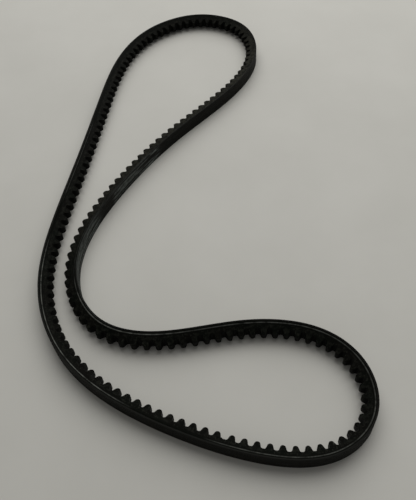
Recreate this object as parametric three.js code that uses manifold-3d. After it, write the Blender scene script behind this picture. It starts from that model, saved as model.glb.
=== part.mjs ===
// A raw-edge cogged V-belt, 10 mm wide across its back, standing on one edge in a free loop.
//
// Lengths are in millimetres, +Z is up and the belt rests on the plane z = 0. Its route in plan is the
// pitch line, where the tensile cord runs. A place in the belt is given by three numbers: the distance
// along the pitch line, anticlockwise from the cog splice; the depth, from the back towards the tips of
// the cogs; and the height above the table. The belt has one symmetry plane, at half its width.
import * as THREE from "three";
import { mergeVertices } from "three/addons/utils/BufferGeometryUtils.js";
import Module from "manifold-3d";

// Section
const BACK_WIDTH = 10;
const THICKNESS = 8.2;
const FLANK_ANGLE = THREE.MathUtils.degToRad(20);
const PITCH_DEPTH = 1.8;

// Layers, from the back to the cogs. The bond line is the clearance between two layers.
const BOND_LINE = 0.1;
const PLY_THICKNESS = 0.4;
const INNER_PLY_DEPTH = PLY_THICKNESS + BOND_LINE;
const OVERCORD_DEPTH = INNER_PLY_DEPTH + PLY_THICKNESS + BOND_LINE;
const CORD_DIAMETER = 1;
const CORD_LAYER_HALF = CORD_DIAMETER / 2 + BOND_LINE / 2;
const UNDERCORD_DEPTH = PITCH_DEPTH + CORD_LAYER_HALF;
const COMPRESSION_DEPTH = 3;

// Tensile cord: one helix, wound side by side from one flank to the other
const CORD_SPACING = 1.35;
const CORD_SIDES = 5;
const CORD_CROSSING = 0.1; // where its middle meets the upper flank, as a fraction of the loop
const CORD_OVERRUN = 0.35; // how far its middle runs on past each flank before it ends

// Cogs. Widths along the belt are in cog pitches, and the splice is a wider notch with no cog.
const COG_COUNT = 169;
const SPLICE_PITCHES = 0.18;
const COG_HEIGHT = 3.4;
const COG_TIP_WIDTH = 0.34;
const COG_FOOT_WIDTH = 0.78;

// Route of the pitch line: the corners that steer a closed B-spline. It is a loop with a wide lobe at
// each end, bent so that its middle nearly closes.
const ROUTE = [
  [12, 194], [-25, 178], [-49, 139.5], [-60, 85], [-72, 25], [-85, -30],
  [-91, -74], [-80, -116], [-53.5, -146.5], [-14.5, -170], [25, -187], [62, -193],
  [89, -175], [89.5, -142.5], [67.5, -118.5], [27, -111.5], [-18, -119.5],
  [-55.5, -110.5], [-72.5, -74], [-66, -36], [-43, 4], [-8.5, 48.5],
  [34.5, 85.5], [63, 125], [60.5, 165.5], [41, 185.5],
];
const SPLICE_AT = 0.4138; // as a fraction of the loop

// Flat facets along the route, short where it bends and long where it is nearly straight
const FACET_SAG = 0.4;
const LONGEST_FACET = 26;
const FACET_STEP = 1;

class ClosedBSpline extends THREE.Curve {
  constructor(corners) {
    super();
    this.corners = corners;
    this.arcLengthDivisions = 2000;
  }

  getPoint(t, target = new THREE.Vector3()) {
    const count = this.corners.length;
    const first = Math.floor(t * count);
    const f = t * count - first;
    const weights = [
      (1 - f) ** 3 / 6,
      (3 * f ** 3 - 6 * f ** 2 + 4) / 6,
      (-3 * f ** 3 + 3 * f ** 2 + 3 * f + 1) / 6,
      f ** 3 / 6,
    ];
    target.set(0, 0, 0);
    weights.forEach((weight, k) => {
      const [x, y] = this.corners[(first + k - 1 + count) % count];
      target.x += weight * x;
      target.y += weight * y;
    });
    return target;
  }
}

const route = new ClosedBSpline(ROUTE);
const loopLength = route.getLength();
const cogPitch = loopLength / (COG_COUNT + SPLICE_PITCHES);

/** The pitch line's point and the direction out of the belt's back, at a distance along it. */
function routeFrame(distance) {
  const u = THREE.MathUtils.euclideanModulo(SPLICE_AT + distance / loopLength, 1);
  const heading = route.getTangentAt(u);
  return {
    distance,
    point: route.getPointAt(u),
    outward: new THREE.Vector3(heading.y, -heading.x, 0),
  };
}

/** Frames at the ends of the flat facets that stand for the curved route. */
function placeStations() {
  const found = [routeFrame(0)];
  for (let distance = FACET_STEP; distance < loopLength; distance += FACET_STEP) {
    const last = found.at(-1);
    const length = distance - last.distance;
    const turn = routeFrame(distance).outward.angleTo(last.outward);
    if ((length * turn) / 8 > FACET_SAG || length > LONGEST_FACET) {
      found.push(routeFrame(distance - FACET_STEP));
    }
  }
  return found;
}

const stations = placeStations();

/** The point of the belt at a distance, a depth and a height. All layers share the same facets. */
function place(distance, depth, height) {
  const along = THREE.MathUtils.euclideanModulo(distance, loopLength);
  const index = stations.findLastIndex((station) => station.distance <= along);
  const from = stations[index];
  const isLast = index === stations.length - 1;
  const to = isLast ? stations[0] : stations[index + 1];
  const end = isLast ? loopLength : to.distance;
  const part = (along - from.distance) / (end - from.distance);
  const outward = from.outward.clone().lerp(to.outward, part);
  const point = from.point.clone().lerp(to.point, part);
  return point.addScaledVector(outward, PITCH_DEPTH - depth).setZ(height);
}

/** Heights of the lower and the upper flank at a depth. */
function flanks(depth) {
  const inset = depth * Math.tan(FLANK_ANGLE);
  return [inset, BACK_WIDTH - inset];
}

/** Four corners of a layer between two depths, cut to the flanks. */
function layerSection(top, bottom) {
  const [topLow, topHigh] = flanks(top);
  const [bottomLow, bottomHigh] = flanks(bottom);
  return [[top, topLow], [top, topHigh], [bottom, bottomHigh], [bottom, bottomLow]];
}

/** Closed surface through sections of equal corner count: a ring, or a rod with flat ends. */
function skin(sections, isRing) {
  const corners = sections[0].corners.length;
  const positions = sections.flatMap(({ distance, corners: section }) =>
    section.flatMap(([depth, height]) => place(distance, depth, height).toArray()),
  );
  const indices = [];
  const bays = isRing ? sections.length : sections.length - 1;
  for (let bay = 0; bay < bays; bay += 1) {
    const near = bay * corners;
    const far = ((bay + 1) % sections.length) * corners;
    for (let corner = 0; corner < corners; corner += 1) {
      const next = (corner + 1) % corners;
      indices.push(near + corner, far + corner, far + next);
      indices.push(near + corner, far + next, near + next);
    }
  }
  if (!isRing) {
    const last = (sections.length - 1) * corners;
    for (let corner = 2; corner < corners; corner += 1) {
      indices.push(0, corner - 1, corner);
      indices.push(last, last + corner, last + corner - 1);
    }
  }
  const geometry = new THREE.BufferGeometry();
  geometry.setAttribute("position", new THREE.Float32BufferAttribute(positions, 3));
  geometry.setIndex(indices);
  geometry.computeVertexNormals();
  return geometry;
}

/** A layer of one section all the way round. */
function layer(corners) {
  return skin(stations.map(({ distance }) => ({ distance, corners })), true);
}

/** The cord before its ends are cut to the flanks. */
function cordHelix() {
  const [low, high] = flanks(PITCH_DEPTH);
  const end = loopLength * (CORD_CROSSING + CORD_OVERRUN / CORD_SPACING);
  const turns = (high - low + 2 * CORD_OVERRUN) / CORD_SPACING;
  const begin = end - turns * loopLength;
  const distances = [begin];
  for (let turn = Math.floor(begin / loopLength); turn * loopLength < end; turn += 1) {
    const round = stations.map((station) => station.distance + turn * loopLength);
    distances.push(...round.filter((distance) => distance > begin && distance < end));
  }
  distances.push(end);
  const sections = distances.map((distance) => {
    const middle = high + CORD_SPACING * (distance / loopLength - CORD_CROSSING);
    const corners = Array.from({ length: CORD_SIDES }, (_, side) => {
      const angle = (2 * Math.PI * side) / CORD_SIDES;
      const radius = CORD_DIAMETER / 2;
      return [PITCH_DEPTH - radius * Math.cos(angle), middle + radius * Math.sin(angle)];
    });
    return { distance, corners };
  });
  return skin(sections, false);
}

/** Depth of the inner face, which follows the cogs. */
function cogDepth(distance) {
  const pitches = distance / cogPitch - (1 + SPLICE_PITCHES) / 2;
  const nearest = THREE.MathUtils.clamp(Math.round(pitches), 0, COG_COUNT - 1);
  const fromFoot = COG_FOOT_WIDTH / 2 - Math.abs(pitches - nearest);
  const slopeWidth = (COG_FOOT_WIDTH - COG_TIP_WIDTH) / 2;
  const rise = THREE.MathUtils.clamp(fromFoot / slopeWidth, 0, 1);
  return THICKNESS - COG_HEIGHT * (1 - rise);
}

/** The compression rubber: a ring with a section at each corner of each cog and at each station. */
function coggedRing() {
  const offsets = [-COG_FOOT_WIDTH, -COG_TIP_WIDTH, COG_TIP_WIDTH, COG_FOOT_WIDTH];
  const distances = stations.map((station) => station.distance);
  for (let cog = 0; cog < COG_COUNT; cog += 1) {
    const middle = cog + (1 + SPLICE_PITCHES) / 2;
    distances.push(...offsets.map((offset) => (middle + offset / 2) * cogPitch));
  }
  distances.sort((a, b) => a - b);
  const sections = distances.map((distance) => ({
    distance,
    corners: layerSection(COMPRESSION_DEPTH, cogDepth(distance)),
  }));
  return skin(sections, true);
}

const wasm = await Module();
wasm.setup();

/** A manifold from an indexed geometry. */
function solid(geometry) {
  const bare = new THREE.BufferGeometry();
  bare.setAttribute("position", geometry.getAttribute("position"));
  bare.setIndex(geometry.getIndex());
  const merged = mergeVertices(bare);
  return new wasm.Manifold(
    new wasm.Mesh({
      numProp: 3,
      vertProperties: merged.getAttribute("position").array,
      triVerts: new Uint32Array(merged.getIndex().array),
    }),
  );
}

/** A geometry from a manifold. */
function geometryOf(manifold) {
  const mesh = manifold.getMesh();
  const geometry = new THREE.BufferGeometry();
  geometry.setAttribute("position", new THREE.Float32BufferAttribute(mesh.vertProperties, 3));
  geometry.setIndex([...mesh.triVerts]);
  geometry.computeVertexNormals();
  return geometry;
}

const material = {
  fabric: new THREE.MeshStandardMaterial({ color: 0x262724, roughness: 0.85 }),
  rubber: new THREE.MeshStandardMaterial({ color: 0x1c1e1b, roughness: 0.6 }),
  cushion: new THREE.MeshStandardMaterial({ color: 0x171817, roughness: 0.55 }),
  cord: new THREE.MeshStandardMaterial({ color: 0x9a9a90, roughness: 0.8 }),
};

const belt = new THREE.Group();

/** Adds one named piece of the belt. */
function add(name, geometry, slot) {
  const mesh = new THREE.Mesh(geometry, material[slot]);
  mesh.name = name;
  belt.add(mesh);
}

// The flanks are cut after the cord is wound, so they slice its first and its last turn.
const cordLayer = layerSection(PITCH_DEPTH - CORD_LAYER_HALF, PITCH_DEPTH + CORD_LAYER_HALF);
const cutCord = solid(cordHelix()).intersect(solid(layer(cordLayer)));

// The outer ply is cut square, so that its edges are flat rings and the belt stands on the lower one.
const squareEdge = [[0, 0], [0, BACK_WIDTH], [PLY_THICKNESS, BACK_WIDTH], [PLY_THICKNESS, 0]];
add("back_ply_outer", layer(squareEdge), "fabric");
add("back_ply_inner", layer(layerSection(INNER_PLY_DEPTH, INNER_PLY_DEPTH + PLY_THICKNESS)), "fabric");
add("overcord_cushion", layer(layerSection(OVERCORD_DEPTH, PITCH_DEPTH - CORD_LAYER_HALF)), "cushion");
add("tensile_cord", geometryOf(cutCord), "cord");
add("undercord_cushion", layer(layerSection(UNDERCORD_DEPTH, COMPRESSION_DEPTH - BOND_LINE)), "cushion");
add("cogged_compression_rubber", coggedRing(), "rubber");

// The origin is in the middle of the belt's footprint.
const footprint = new THREE.Box3().setFromObject(belt).getCenter(new THREE.Vector3());
belt.position.set(-footprint.x, -footprint.y, 0);

export default belt;
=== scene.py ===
"""The looks of a raw-edge cogged V-belt that stands on one edge in a free loop.

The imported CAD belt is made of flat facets. Each of its six pieces is rebuilt here as a smooth mesh on
the same route and in the same section, with its own procedural material. A place in the belt is given
by the distance along the pitch line, anticlockwise from the cog splice, the depth below the back and
the height above the table. Section sizes are in millimetres, and meshes are in metres.
"""
import math

import bpy
import numpy as np
from mathutils import Matrix, Vector


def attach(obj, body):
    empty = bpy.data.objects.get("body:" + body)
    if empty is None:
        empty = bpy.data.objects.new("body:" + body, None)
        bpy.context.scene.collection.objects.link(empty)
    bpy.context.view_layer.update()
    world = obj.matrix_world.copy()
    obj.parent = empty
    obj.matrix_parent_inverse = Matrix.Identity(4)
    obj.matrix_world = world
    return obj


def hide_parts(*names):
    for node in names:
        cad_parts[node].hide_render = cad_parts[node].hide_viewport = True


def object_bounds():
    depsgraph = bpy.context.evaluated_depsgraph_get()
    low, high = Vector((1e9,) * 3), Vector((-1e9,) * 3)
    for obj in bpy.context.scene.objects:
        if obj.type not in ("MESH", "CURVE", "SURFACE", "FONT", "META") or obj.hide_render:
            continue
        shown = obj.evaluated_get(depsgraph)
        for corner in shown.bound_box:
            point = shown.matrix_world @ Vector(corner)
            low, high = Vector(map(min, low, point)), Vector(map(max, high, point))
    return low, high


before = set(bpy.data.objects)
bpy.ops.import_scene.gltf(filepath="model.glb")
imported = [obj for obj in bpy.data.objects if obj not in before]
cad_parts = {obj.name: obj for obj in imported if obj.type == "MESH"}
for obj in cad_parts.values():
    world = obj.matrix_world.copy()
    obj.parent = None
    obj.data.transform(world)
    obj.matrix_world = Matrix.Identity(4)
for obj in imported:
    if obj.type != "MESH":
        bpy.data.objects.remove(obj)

CAD_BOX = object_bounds()
MM = 0.001

# Section, close to the CAD model's. The bond lines between layers are thinner here.
BACK_WIDTH = 10.0
THICKNESS = 8.2
FLANK_SLOPE = math.tan(math.radians(20))
PITCH_DEPTH = 1.8
PLY_THICKNESS = 0.45
INNER_PLY_DEPTH = 0.47
INNER_PLY_BOTTOM = 0.9
OVERCORD_DEPTH = 0.92
UNDERCORD_BOTTOM = 2.9
COMPRESSION_DEPTH = 2.92
HALF_BOND = 0.01
OUTER_PLY_ROUND = 0.1
INNER_PLY_ROUND = 0.05

# Tensile cord
CORD_RADIUS = 0.5
CORD_SPACING = 1.35
CORD_CROSSING = 0.1
CORD_OVERRUN = 0.35
CORD_PROUD = 0.03
CORD_STRANDS = 3
CORD_STRAND_RELIEF = 0.06  # as a fraction of the cord's radius
CORD_LAY = 5.0

# Cogs
COG_COUNT = 169
SPLICE_PITCHES = 0.18
COG_HEIGHT = 3.4
COG_TIP_RADIUS = 1.55
COG_FOOT_RADIUS = 1.0
COG_SIDE_LEAN = math.radians(15)

# The low ridge in the splice notch, measured from the middle of the last cog
RIDGE_HEIGHT = 0.54
RIDGE_FROM_COG = 2.6
RIDGE_WIDTH = 0.32

# Where the cut flank meets the moulded face
CUT_EDGE_RADIUS = 0.12
CUT_EDGE_STEPS = 3
EDGE_HOLD = 0.05
FACE_HOLD = 1.0

# Corners of the closed B-spline that the pitch line follows, in millimetres
ROUTE = [
    (12, 194), (-25, 178), (-49, 139.5), (-60, 85), (-72, 25), (-85, -30),
    (-91, -74), (-80, -116), (-53.5, -146.5), (-14.5, -170), (25, -187), (62, -193),
    (89, -175), (89.5, -142.5), (67.5, -118.5), (27, -111.5), (-18, -119.5),
    (-55.5, -110.5), (-72.5, -74), (-66, -36), (-43, 4), (-8.5, 48.5),
    (34.5, 85.5), (63, 125), (60.5, 165.5), (41, 185.5),
]
# Both are fractions of the loop, SPLICE_AT from the route's start and SEAM_AT from the splice
SPLICE_AT = 0.4138
SEAM_AT = 0.57  # where the two ends of the lengthwise patterns meet

# Fineness of the meshes
ROW_STEP = 1.2
CUSHION_ROW_STEP = 2.4
CUSHION_COLUMNS = 64
CORD_SIDES = 12
COG_ROWS = 32
SPLICE_ROWS = 6

# Wear. A worn stretch is (where it starts, full from, full to, where it ends, strength). Distances are
# in millimetres past the splice.
SCUFFED = [(250, 290, 352, 357, 0.65), (371, 374, 421, 425, 0.65), (409, 414, 421, 425, 1.0)]
SCUFF_RAGGEDNESS = 40.0
DUSTED = [(310, 375, 560, 620, 0.72), (480, 510, 545, 600, 1.0)]
BARED = [(-320, -290, -230, -215, 0.45), (-190, -165, -70, -48, 0.95), (-10, 0, 200, 305, 0.55),
         (200, 230, 285, 305, 0.95), (290, 320, 400, 420, 0.25)]

# Tones, as linear colours
GREEN_RUBBER = (0.0012, 0.0020, 0.0010)
BROWN_RUBBER = (0.0020, 0.0018, 0.0012)
RUBBER_FLECK = (0.017, 0.018, 0.014)
GREEN_CUSHION = (0.0014, 0.0020, 0.0010)
BROWN_CUSHION = (0.0018, 0.0018, 0.0010)
CUSHION_FLECK = (0.005, 0.006, 0.0045)
RUBBER_DUST = (0.029, 0.0285, 0.0215)
DARK_COG = (0.0028, 0.0032, 0.0024)
PALE_COG = (0.006, 0.0065, 0.0052)
GREEN_FABRIC = (0.0045, 0.0058, 0.0043)
BROWN_FABRIC = (0.0068, 0.0060, 0.0044)
WORN_FABRIC = (0.0085, 0.0088, 0.0070)
THREAD_CROWN = (0.012, 0.0122, 0.0100)
# Painted highlight, mixed with some rub, along both edges of the back
EDGE_HIGHLIGHT_AND_RUB = (0.009, 0.0096, 0.008)
SCUFF_GREY = (0.17, 0.19, 0.18)
DIRTY_CORD = (0.0028, 0.0034, 0.0024)
DULL_CORD = (0.075, 0.08, 0.072)
PALE_CORD = (0.17, 0.175, 0.16)
DULL_TABLE = (0.60, 0.595, 0.56)
PALE_TABLE = (0.64, 0.635, 0.60)
WARM_WHITE = (1.0, 0.99, 0.96)

# Fabric weave, and the rub and painted highlight along its edges, measured from the middle of the back
THREAD_SPACING = 0.55
HIGHLIGHT_AND_RUB_FROM = 3.6
SCUFF_FADES_FROM = 3.9

# Viewpoint
LENS = 44.9
CAMERA_PLACE = (0.01086, -0.29152, 0.3028)
CAMERA_PITCH = math.radians(90 - 51.92)
CAMERA_ROLL = math.radians(-4.72)

# Studio, in metres and watts
SKY_STRENGTH = 0.17
KEY_PLACE = (0.25, 0.9, 1.0)
KEY_SIZE = 2.2
KEY_WATTS = 20.4
TABLE_HALF_SIZE = 3.0


# Route ------------------------------------------------------------------------------------------

def spline_table(samples=12000):
    """Points and outward normals of the pitch line at even steps of the spline's parameter."""
    corners = np.array(ROUTE) * MM
    count = len(corners)
    u = np.arange(samples) / samples * count
    first = np.floor(u).astype(int)
    f = (u - first)[:, None]
    weights = [(1 - f) ** 3 / 6, (3 * f ** 3 - 6 * f ** 2 + 4) / 6,
               (-3 * f ** 3 + 3 * f ** 2 + 3 * f + 1) / 6, f ** 3 / 6]
    slopes = [-(1 - f) ** 2 / 2, (3 * f ** 2 - 4 * f) / 2, (-3 * f ** 2 + 2 * f + 1) / 2, f ** 2 / 2]
    around = [corners[(first + k - 1) % count] for k in range(4)]
    points = sum(weight * corner for weight, corner in zip(weights, around))
    heading = sum(slope * corner for slope, corner in zip(slopes, around))
    heading /= np.linalg.norm(heading, axis=1)[:, None]
    outward = np.stack([heading[:, 1], -heading[:, 0]], axis=1)
    return points, outward


POINTS, OUTWARD = spline_table()
STEPS = np.linalg.norm(np.roll(POINTS, -1, axis=0) - POINTS, axis=1) / MM
ALONG = np.concatenate([[0], np.cumsum(STEPS)])
LOOP = ALONG[-1]
COG_PITCH = LOOP / (COG_COUNT + SPLICE_PITCHES)

BACK_LINE = POINTS + OUTWARD * PITCH_DEPTH * MM
CENTRE = (BACK_LINE.min(axis=0) + BACK_LINE.max(axis=0)) / 2


def on_loop(table, distance):
    """A value of the route's table at distances from the splice, wrapped round the loop."""
    along = (SPLICE_AT * LOOP + distance) % LOOP
    closed = np.concatenate([table, table[:1]])
    return np.stack([np.interp(along, ALONG, closed[:, k]) for k in range(2)], axis=-1)


def place(distance, depth, height):
    """Points of the belt, in metres, for arrays of distance, depth and height in millimetres."""
    point = on_loop(POINTS, distance) - CENTRE
    point = point + on_loop(OUTWARD, distance) * ((PITCH_DEPTH - depth) * MM)[..., None]
    return np.concatenate([point, (height * MM)[..., None]], axis=-1)


def half_width(depth):
    """Half the width between the flanks at a depth."""
    return BACK_WIDTH / 2 - depth * FLANK_SLOPE


# Meshes -----------------------------------------------------------------------------------------

def make_mesh(name, points, quads, caps, pattern, sharp_degrees):
    """A mesh with smooth faces, and the belt's own coordinates stored for its materials."""
    mesh = bpy.data.meshes.new(name)
    faces = [tuple(face) for face in quads.tolist()] + [tuple(cap) for cap in caps]
    mesh.from_pydata(points.reshape(-1, 3).tolist(), [], faces)
    mesh.update()
    layer = mesh.attributes.new("belt", "FLOAT_VECTOR", "CORNER")
    values = pattern.reshape(-1, 3)
    extra = sum(len(cap) for cap in caps)
    if extra:
        values = np.concatenate([values, np.repeat(values[-1:], extra, axis=0)])
    layer.data.foreach_set("vector", values.astype(np.float32).ravel())
    mesh.shade_smooth()
    mesh.set_sharp_from_angle(angle=math.radians(sharp_degrees))
    piece = bpy.data.objects.new(name, mesh)
    bpy.context.collection.objects.link(piece)
    return piece


def skin(name, distance, depth, height, closed, sharp_degrees=40):
    """A mesh through rows of points. Rows run along the belt and columns run round the section."""
    rows, columns = depth.shape
    along = np.repeat(distance[:, None], columns, axis=1)
    points = place(along, depth, height)
    index = np.arange(rows * columns).reshape(rows, columns)
    belt = np.stack([along, height, depth], axis=-1)
    if closed:
        index = np.concatenate([index, index[:1]])
        belt = np.concatenate([belt, belt[:1] + (LOOP, 0, 0)])

    def face_corners(grid):
        """The near, far, far across and near across corner of every face."""
        across = np.roll(grid, -1, axis=1)
        return [grid[:-1], grid[1:], across[1:], across[:-1]]

    quads = np.stack(face_corners(index), axis=-1)
    pattern = np.stack(face_corners(belt), axis=2)
    caps = [] if closed else [index[0].tolist(), index[-1][::-1].tolist()]
    return make_mesh(name, points, quads.reshape(-1, 4), caps, pattern, sharp_degrees)


def rounded(corners, radius, steps=3):
    """A section with each corner replaced by a short curve. Corners are (depth, height)."""
    result = []
    for k, corner in enumerate(corners):
        here = np.array(corner, dtype=float)
        before = np.array(corners[k - 1]) - here
        after = np.array(corners[(k + 1) % len(corners)]) - here
        start = here + before / np.linalg.norm(before) * radius
        end = here + after / np.linalg.norm(after) * radius
        for t in np.linspace(0, 1, steps + 1):
            result.append((1 - t) ** 2 * start + 2 * t * (1 - t) * here + t * t * end)
    return np.array(result)


def flank_section(top, bottom):
    """The four corners of a layer between two depths, cut to the flanks."""
    middle = BACK_WIDTH / 2
    return [(top, middle - half_width(top)), (top, middle + half_width(top)),
            (bottom, middle + half_width(bottom)), (bottom, middle - half_width(bottom))]


def loop_rows(step=ROW_STEP):
    """Even distances once round the loop, from the seam of the patterns."""
    count = round(LOOP / step)
    return (SEAM_AT - 1) * LOOP + np.arange(count) * LOOP / count


def layer(name, corners, radius):
    """A layer of one section all the way round."""
    rows = loop_rows()
    section = rounded(corners, radius)
    depth = np.repeat(section[None, :, 0], len(rows), axis=0)
    height = np.repeat(section[None, :, 1], len(rows), axis=0)
    return skin(name, rows, depth, height, True)


# Tensile cord and the cushions that it lies in -----------------------------------------------------

def cord_span():
    """Distances at which the one helix of cord begins and ends."""
    end = LOOP * (CORD_CROSSING + CORD_OVERRUN / CORD_SPACING)
    turns = (2 * half_width(PITCH_DEPTH) + 2 * CORD_OVERRUN) / CORD_SPACING
    return end - turns * LOOP, end


def cord_height(distance):
    """Height of the cord's middle at a distance counted through all its turns."""
    upper_flank = BACK_WIDTH / 2 + half_width(PITCH_DEPTH)
    return upper_flank + CORD_SPACING * (distance / LOOP - CORD_CROSSING)


def tensile_cord():
    """Twisted strands on a helix, sliced flat where the helix reaches the flanks."""
    begin, end = cord_span()
    rows = np.linspace(begin, end, round((end - begin) / ROW_STEP))
    angle = np.linspace(0, 2 * np.pi, CORD_SIDES, endpoint=False)[None, :]
    twist = (2 * np.pi * rows / CORD_LAY)[:, None]
    relief = 1 - np.cos(CORD_STRANDS * (angle - twist))
    radius = CORD_RADIUS * (1 - CORD_STRAND_RELIEF * relief)
    depth = PITCH_DEPTH - radius * np.cos(angle)
    height = cord_height(rows)[:, None] + radius * np.sin(angle)
    reach = half_width(depth) + CORD_PROUD
    middle = BACK_WIDTH / 2
    height = np.clip(height, middle - reach, middle + reach)
    return skin("tensile_cord", rows, depth, height, False, sharp_degrees=50)


def groove(distance, height):
    """How deep the cord's turns press into a cushion, at points of the pitch surface."""
    begin, end = cord_span()
    first = math.floor((begin - LOOP) / LOOP)
    last = math.ceil((end + LOOP) / LOOP)
    result = np.zeros_like(height)
    for turn in range(first, last + 1):
        through = distance % LOOP + turn * LOOP
        offset = height - cord_height(through)
        chord = np.sqrt(np.clip(CORD_RADIUS ** 2 - offset ** 2, 0, None))
        result = np.where((through >= begin) & (through <= end), np.maximum(result, chord), result)
    return result


def cushion(name, outer_depth, side):
    """Half of the cushion rubber. Side is -1 above the cord, towards the back, and 1 below it."""
    rows = loop_rows(CUSHION_ROW_STEP)
    spread = np.linspace(-1, 1, CUSHION_COLUMNS)[None, :]
    distance = np.repeat(rows[:, None], CUSHION_COLUMNS, axis=1)
    pressed = groove(distance, BACK_WIDTH / 2 + spread * half_width(PITCH_DEPTH))
    inner_depth = PITCH_DEPTH + side * (HALF_BOND + pressed)
    inner_height = BACK_WIDTH / 2 + spread * half_width(inner_depth)
    outer = np.array([-1.0, 1.0])[None, :] if side < 0 else np.array([1.0, -1.0])[None, :]
    outer_depths = np.full((len(rows), 2), outer_depth)
    outer_height = BACK_WIDTH / 2 + outer * half_width(outer_depths)
    if side < 0:
        depth = np.concatenate([outer_depths, inner_depth[:, ::-1]], axis=1)
        height = np.concatenate([outer_height, inner_height[:, ::-1]], axis=1)
    else:
        depth = np.concatenate([inner_depth, outer_depths], axis=1)
        height = np.concatenate([inner_height, outer_height], axis=1)
    return skin(name, rows, depth, height, True, sharp_degrees=60)


# Cogs ---------------------------------------------------------------------------------------------

def cog_rise(offset):
    """Height of a cog at distances from its middle: a round tip, a straight side and a filleted foot."""
    tip_end = COG_TIP_RADIUS * math.cos(COG_SIDE_LEAN)
    tip_end_height = COG_HEIGHT - COG_TIP_RADIUS * (1 - math.sin(COG_SIDE_LEAN))
    foot_start_height = COG_FOOT_RADIUS * (1 - math.sin(COG_SIDE_LEAN))
    foot_start = tip_end + (tip_end_height - foot_start_height) * math.tan(COG_SIDE_LEAN)
    foot_end = foot_start + COG_FOOT_RADIUS * math.cos(COG_SIDE_LEAN)
    tip = COG_HEIGHT - COG_TIP_RADIUS + np.sqrt(np.clip(COG_TIP_RADIUS ** 2 - offset ** 2, 0, None))
    side = tip_end_height - (offset - tip_end) / math.tan(COG_SIDE_LEAN)
    foot = COG_FOOT_RADIUS - np.sqrt(np.clip(COG_FOOT_RADIUS ** 2 - (foot_end - offset) ** 2, 0, None))
    below_tip = np.where(offset < foot_start, side, np.where(offset < foot_end, foot, 0))
    return np.where(offset < tip_end, tip, below_tip)


def cut_edge():
    """Depths above the moulded face and insets from the flank, from the flank round the edge."""
    turn = np.linspace(0, math.pi / 2, CUT_EDGE_STEPS + 1)
    above = CUT_EDGE_RADIUS * (1 - np.sin(turn))
    inset = CUT_EDGE_RADIUS * (1 - np.cos(turn))
    held = [(CUT_EDGE_RADIUS + EDGE_HOLD, 0.0)]
    moulded = [(0.0, CUT_EDGE_RADIUS + EDGE_HOLD), (0.0, FACE_HOLD)]
    return held + list(zip(above, inset)) + moulded


def cog_depth(distance):
    """Depth of the moulded inner face: rounded cogs, and a low ridge in the splice notch."""
    pitches = (distance % LOOP) / COG_PITCH - (1 + SPLICE_PITCHES) / 2
    nearest = np.clip(np.round(pitches), 0, COG_COUNT - 1)
    rise = cog_rise(np.abs(pitches - nearest) * COG_PITCH)
    past_last_cog = (pitches - (COG_COUNT - 1)) * COG_PITCH
    ridge = RIDGE_HEIGHT * np.exp(-((past_last_cog - RIDGE_FROM_COG) / RIDGE_WIDTH) ** 2)
    return THICKNESS - COG_HEIGHT + np.maximum(rise, ridge)


def compression_rubber():
    """The cogged ring. Its flanks are cut, so they meet the moulded face at a nearly sharp edge."""
    fine = np.linspace(-0.5, 0.5, COG_ROWS + 1)[:-1]
    middles = np.arange(COG_COUNT) + (1 + SPLICE_PITCHES) / 2
    cogs = (middles[:, None] + fine[None, :]).ravel() * COG_PITCH
    splice = np.linspace(-SPLICE_PITCHES / 2, SPLICE_PITCHES / 2, SPLICE_ROWS + 1)[:-1] * COG_PITCH
    rows = np.sort(np.concatenate([cogs, splice]) % LOOP)
    start = np.searchsorted(rows, SEAM_AT * LOOP)
    rows = np.concatenate([rows[start:] - LOOP, rows[:start]])
    inner = cog_depth(rows)
    columns = []
    for above, inset in cut_edge():
        depth = inner - above
        columns.append((depth, half_width(depth) - inset))
    outer = np.full_like(inner, COMPRESSION_DEPTH)
    columns.insert(0, (outer, half_width(outer)))
    upper = [(depth, BACK_WIDTH / 2 + reach) for depth, reach in columns]
    lower = [(depth, BACK_WIDTH / 2 - reach) for depth, reach in columns]
    around = [lower[0]] + upper + lower[:0:-1]
    depth = np.stack([column[0] for column in around], axis=1)
    height = np.stack([column[1] for column in around], axis=1)
    piece = skin("cogged_compression_rubber", rows, depth, height, True, sharp_degrees=35)
    moulded = np.zeros(depth.shape, dtype=np.int32)
    first_moulded = 2 + CUT_EDGE_STEPS
    moulded[:, first_moulded:len(around) - first_moulded + 1] = 1
    piece.data.polygons.foreach_set("material_index", moulded.ravel())
    return piece


# Materials ----------------------------------------------------------------------------------------

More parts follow.
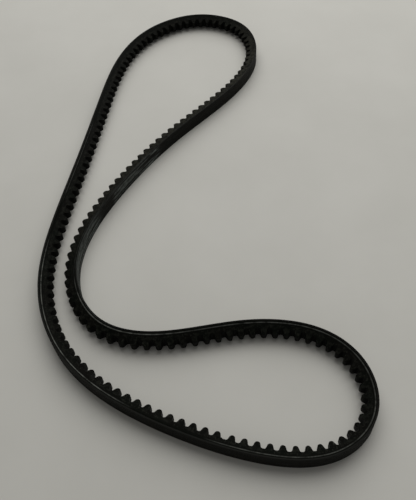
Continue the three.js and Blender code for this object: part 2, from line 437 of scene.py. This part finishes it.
class Nodes:
    """Short names for building a material's node tree."""

    def __init__(self, name):
        self.material = bpy.data.materials.new(name)
        self.material.use_nodes = True
        self.tree = self.material.node_tree
        self.tree.nodes.clear()
        self.shader = self.add("ShaderNodeBsdfPrincipled")
        output = self.add("ShaderNodeOutputMaterial")
        self.link(self.shader.outputs["BSDF"], output.inputs["Surface"])

    def add(self, kind, **settings):
        node = self.tree.nodes.new(kind)
        for key, value in settings.items():
            setattr(node, key, value)
        return node

    def link(self, source, target):
        self.tree.links.new(source, target)

    def set(self, **values):
        for key, value in values.items():
            self.shader.inputs[key.replace("_", " ")].default_value = value

    def belt(self, scale=(1, 1, 1)):
        """The stored belt coordinates: distance, height and depth in millimetres, times a scale."""
        source = self.add("ShaderNodeAttribute", attribute_name="belt")
        mapping = self.add("ShaderNodeMapping", vector_type="POINT")
        mapping.inputs["Scale"].default_value = scale
        self.link(source.outputs["Vector"], mapping.inputs["Vector"])
        return mapping.outputs["Vector"]

    def noise(self, vector, scale, detail=4.0, roughness=0.55):
        node = self.add("ShaderNodeTexNoise")
        node.inputs["Scale"].default_value = scale
        node.inputs["Detail"].default_value = detail
        node.inputs["Roughness"].default_value = roughness
        self.link(vector, node.inputs["Vector"])
        return node.outputs["Fac"]

    def ramp(self, source, stops):
        """A colour ramp from stops of position and grey level or colour."""
        node = self.add("ShaderNodeValToRGB")
        while len(node.color_ramp.elements) < len(stops):
            node.color_ramp.elements.new(0.5)
        for element, (position, colour) in zip(node.color_ramp.elements, stops):
            element.position = position
            level = (colour,) * 3 if isinstance(colour, (int, float)) else colour
            element.color = (*level, 1)
        self.link(source, node.inputs["Fac"])
        return node.outputs["Color"]

    def math(self, operation, *values):
        node = self.add("ShaderNodeMath", operation=operation)
        for socket, value in zip(node.inputs, values):
            if isinstance(value, (int, float)):
                socket.default_value = value
            else:
                self.link(value, socket)
        return node.outputs["Value"]

    def mix(self, factor, first, second):
        node = self.add("ShaderNodeMix", data_type="RGBA")
        for socket, value in ((node.inputs[0], factor), (node.inputs[6], first), (node.inputs[7], second)):
            if isinstance(value, (int, float)):
                socket.default_value = value
            elif isinstance(value, tuple):
                socket.default_value = (*value, 1)
            else:
                self.link(value, socket)
        return node.outputs[2]

    def span(self, source, low, high):
        """A value rescaled so that low is 0 and high is 1."""
        node = self.add("ShaderNodeMapRange")
        node.inputs["From Min"].default_value = low
        node.inputs["From Max"].default_value = high
        self.link(source, node.inputs["Value"])
        return node.outputs["Result"]

    def worn(self, source, stretches):
        """Strength of wear along the belt: the strongest of the listed stretches."""
        result = 0.0
        for start, full_from, full_to, end, strength in stretches:
            rise = self.span(source, start, full_from)
            fall = self.span(source, end, full_to)
            stretch = self.math("MULTIPLY", self.math("MULTIPLY", rise, fall), strength)
            result = self.math("MAXIMUM", result, stretch)
        return result

    def bump(self, height, distance, strength=1.0):
        node = self.add("ShaderNodeBump")
        node.inputs["Strength"].default_value = strength
        node.inputs["Distance"].default_value = distance
        self.link(height, node.inputs["Height"])
        self.link(node.outputs["Normal"], self.shader.inputs["Normal"])


def rubber_material(name, green, brown, fleck):
    """Cut and ground black rubber: mottled, flecked, scratched along the belt and dusty in places."""
    n = Nodes(name)
    n.set(Specular_IOR_Level=0.05)
    cloud = n.noise(n.add("ShaderNodeTexCoord").outputs["Object"], 60.0, 3.0)
    scratch = n.noise(n.belt((0.12, 3.0, 3.0)), 1.0, 6.0, 0.7)
    fleck_noise = n.noise(n.belt((1.6, 0.6, 0.6)), 1.0, 2.0)
    mottle = n.noise(n.belt((0.35, 0.6, 0.6)), 1.0, 4.0, 0.7)
    tint = n.mix(n.ramp(cloud, [(0.4, 0.0), (0.62, 1.0)]), green, brown)
    tint = n.mix(n.ramp(mottle, [(0.48, 0.0), (0.62, 0.45)]), tint, fleck)
    tint = n.mix(n.ramp(fleck_noise, [(0.60, 0.0), (0.66, 1.0)]), tint, fleck)
    coordinates = n.add("ShaderNodeSeparateXYZ")
    n.link(n.belt(), coordinates.inputs["Vector"])
    dusted = n.worn(coordinates.outputs["X"], DUSTED)
    patch = n.noise(n.belt((0.45, 0.5, 0.5)), 1.0, 4.0, 0.65)
    dust = n.math("MULTIPLY", dusted, n.ramp(patch, [(0.42, 0.1), (0.58, 1.0)]))
    tint = n.mix(dust, tint, RUBBER_DUST)
    n.link(tint, n.shader.inputs["Base Color"])
    n.link(n.ramp(scratch, [(0.3, 0.6), (0.7, 0.85)]), n.shader.inputs["Roughness"])
    relief = n.math("ADD", n.math("MULTIPLY", scratch, 0.7), n.math("MULTIPLY", fleck_noise, 0.5))
    n.bump(relief, 0.00015)
    return n.material


def cog_material():
    """Moulded cog faces: smoother rubber with faint mould lines across the belt."""
    n = Nodes("moulded_cog_rubber")
    n.set(Specular_IOR_Level=0.08)
    grain = n.noise(n.belt((1.0, 0.35, 1.0)), 2.2, 5.0, 0.6)
    n.link(n.ramp(grain, [(0.3, DARK_COG), (0.75, PALE_COG)]), n.shader.inputs["Base Color"])
    n.link(n.ramp(grain, [(0.3, 0.5), (0.7, 0.7)]), n.shader.inputs["Roughness"])
    n.bump(grain, 0.0001)
    return n.material


def fabric_material():
    """Rubberised bias-cut weave. One stretch is scuffed to grey streaks, and the edges carry a painted
    highlight mixed with rub.
    """
    n = Nodes("woven_back")
    n.set(Specular_IOR_Level=0.11)
    coordinates = n.add("ShaderNodeSeparateXYZ")
    n.link(n.belt(), coordinates.inputs["Vector"])
    along, across = coordinates.outputs["X"], coordinates.outputs["Y"]
    threads = 2 * math.pi / THREAD_SPACING
    first = n.math("SINE", n.math("MULTIPLY", n.math("ADD", along, across), threads))
    second = n.math("SINE", n.math("MULTIPLY", n.math("SUBTRACT", along, across), threads))
    weave = n.math("MULTIPLY", first, second)
    wear = n.noise(n.belt((0.08, 0.8, 1.0)), 1.0, 5.0, 0.65)
    cloud = n.noise(n.add("ShaderNodeTexCoord").outputs["Object"], 50.0, 3.0)
    dark = n.mix(n.ramp(cloud, [(0.4, 0.0), (0.62, 1.0)]), GREEN_FABRIC, BROWN_FABRIC)
    base = n.mix(n.ramp(wear, [(0.35, 0.0), (0.65, 0.8)]), dark, WORN_FABRIC)
    crown = n.ramp(weave, [(0.2, 0.0), (0.9, 0.5)])
    tint = n.mix(crown, base, THREAD_CROWN)
    edge = BACK_WIDTH / 2
    from_middle = n.math("ABSOLUTE", n.math("SUBTRACT", across, edge))
    # Painted highlight along both edges of the back, mixed with real rub and broken up by the wear noise
    near_edge = n.ramp(n.span(from_middle, HIGHLIGHT_AND_RUB_FROM, edge), [(0.0, 0.0), (0.85, 0.35), (1.0, 0.9)])
    highlight_and_rub = n.math("MULTIPLY", near_edge, n.ramp(wear, [(0.25, 0.35), (0.7, 1.0)]))
    tint = n.mix(highlight_and_rub, tint, EDGE_HIGHLIGHT_AND_RUB)
    streak = n.noise(n.belt((0.03, 0.85, 0.0)), 1.0, 2.0, 0.6)
    ragged = n.math("MULTIPLY", n.math("SUBTRACT", streak, 0.5), SCUFF_RAGGEDNESS)
    scuffed = n.worn(n.math("ADD", along, ragged), SCUFFED)
    blot = n.noise(n.belt((0.30, 0.45, 0.0)), 1.0, 3.0, 0.6)
    lines = n.ramp(streak, [(0.44, 0.0), (0.53, 1.0)])
    blotted = n.math("MULTIPLY", lines, n.ramp(blot, [(0.35, 0.25), (0.6, 1.0)]))
    off_edge = n.ramp(n.span(from_middle, SCUFF_FADES_FROM, edge), [(0.0, 1.0), (0.8, 0.3)])
    scuff = n.math("MULTIPLY", n.math("MULTIPLY", blotted, scuffed), off_edge)
    tint = n.mix(scuff, tint, SCUFF_GREY)
    n.link(tint, n.shader.inputs["Base Color"])
    n.link(n.ramp(wear, [(0.3, 0.55), (0.7, 0.78)]), n.shader.inputs["Roughness"])
    n.bump(n.math("ADD", n.math("MULTIPLY", weave, 0.5), wear), 0.00010)
    return n.material


def cord_material():
    """Twisted pale grey polyester. Rubber dust hides it where it only grazes the flank."""
    n = Nodes("polyester_cord")
    n.set(Roughness=0.85, Specular_IOR_Level=0.05)
    fibre = n.noise(n.belt((1.2, 6.0, 6.0)), 1.0, 4.0, 0.6)
    dirt = n.noise(n.belt((0.16, 0.0, 0.0)), 1.0, 4.0, 0.7)
    coordinates = n.add("ShaderNodeSeparateXYZ")
    n.link(n.belt(), coordinates.inputs["Vector"])
    bared = n.worn(coordinates.outputs["X"], BARED)
    from_core = n.math("ABSOLUTE", n.math("SUBTRACT", coordinates.outputs["Z"], PITCH_DEPTH))
    core = n.ramp(n.span(from_core, 0.0, CORD_RADIUS), [(0.3, 1.0), (0.75, 0.05)])
    pale = n.ramp(fibre, [(0.3, DULL_CORD), (0.7, PALE_CORD)])
    clean = n.math("MULTIPLY", bared, n.ramp(dirt, [(0.38, 0.15), (0.56, 1.0)]))
    clean = n.math("MULTIPLY", clean, core)
    n.link(n.mix(clean, DIRTY_CORD, pale), n.shader.inputs["Base Color"])
    n.bump(fibre, 0.00008)
    return n.material


def floor_material():
    """A plain pale table with faint soft mottling."""
    n = Nodes("pale_table")
    n.set(Roughness=0.6, Specular_IOR_Level=0.3)
    place_on_table = n.add("ShaderNodeTexCoord").outputs["Object"]
    mottle = n.noise(place_on_table, 14.0, 4.0)
    n.link(n.ramp(mottle, [(0.3, DULL_TABLE), (0.7, PALE_TABLE)]), n.shader.inputs["Base Color"])
    return n.material


# Assembly -----------------------------------------------------------------------------------------

def finish_piece(piece, node, slot, *materials):
    """Give a mesh its materials and its body, and hide the CAD node that it replaces. The slot argument is
    not used.
    """
    for material in materials:
        piece.data.materials.append(material)
    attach(piece, "root")
    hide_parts(node)


def add_camera():
    """The viewpoint: in front of the loop, looking down at it, with a slight roll."""
    data = bpy.data.cameras.new("camera")
    data.sensor_width = 36.0
    data.lens = LENS
    camera = bpy.data.objects.new("camera", data)
    bpy.context.collection.objects.link(camera)
    pitch = Matrix.Rotation(CAMERA_PITCH, 4, "X")
    roll = Matrix.Rotation(CAMERA_ROLL, 4, "Z")
    camera.matrix_world = Matrix.Translation(Vector(CAMERA_PLACE)) @ pitch @ roll
    bpy.context.scene.camera = camera


def add_lights():
    """A dim even sky, and one large soft light above and behind the loop."""
    world = bpy.data.worlds.new("studio")
    bpy.context.scene.world = world
    world.use_nodes = True
    background = world.node_tree.nodes["Background"]
    background.inputs["Color"].default_value = (*WARM_WHITE, 1)
    background.inputs["Strength"].default_value = SKY_STRENGTH
    data = bpy.data.lights.new("key", "AREA")
    data.shape = "DISK"
    data.size = KEY_SIZE
    data.energy = KEY_WATTS
    data.color = WARM_WHITE
    key = bpy.data.objects.new("key", data)
    bpy.context.collection.objects.link(key)
    key.location = KEY_PLACE
    key.rotation_euler = (-Vector(KEY_PLACE)).to_track_quat("-Z", "Y").to_euler()


def add_floor():
    """The table, at the height of the belt's lower edge."""
    size = TABLE_HALF_SIZE
    mesh = bpy.data.meshes.new("table")
    mesh.from_pydata([(-size, -size, 0), (size, -size, 0), (size, size, 0), (-size, size, 0)], [],
                     [(0, 1, 2, 3)])
    floor = bpy.data.objects.new("table", mesh)
    bpy.context.collection.objects.link(floor)
    mesh.materials.append(floor_material())
    floor.location.z = CAD_BOX[0][2]


add_camera()
bpy.context.scene.view_settings.view_transform = "Standard"

fabric = fabric_material()
cut_rubber = rubber_material("cut_rubber", GREEN_RUBBER, BROWN_RUBBER, RUBBER_FLECK)
cushion_rubber = rubber_material("cushion_rubber", GREEN_CUSHION, BROWN_CUSHION, CUSHION_FLECK)

square_ply = [(0, 0), (0, BACK_WIDTH), (PLY_THICKNESS, BACK_WIDTH), (PLY_THICKNESS, 0)]
finish_piece(layer("back_ply_outer", square_ply, OUTER_PLY_ROUND), "back_ply_outer", "back_fabric", fabric)
inner_ply = flank_section(INNER_PLY_DEPTH, INNER_PLY_BOTTOM)
finish_piece(layer("back_ply_inner", inner_ply, INNER_PLY_ROUND), "back_ply_inner", "back_fabric", fabric)
finish_piece(cushion("overcord_cushion", OVERCORD_DEPTH, -1), "overcord_cushion", "cushion_rubber",
             cushion_rubber)
finish_piece(tensile_cord(), "tensile_cord", "tensile_cord", cord_material())
finish_piece(cushion("undercord_cushion", UNDERCORD_BOTTOM, 1), "undercord_cushion", "cushion_rubber",
             cushion_rubber)

cogged = compression_rubber()
finish_piece(cogged, "cogged_compression_rubber", "compression_rubber", cut_rubber, cog_material())

add_floor()
add_lights()
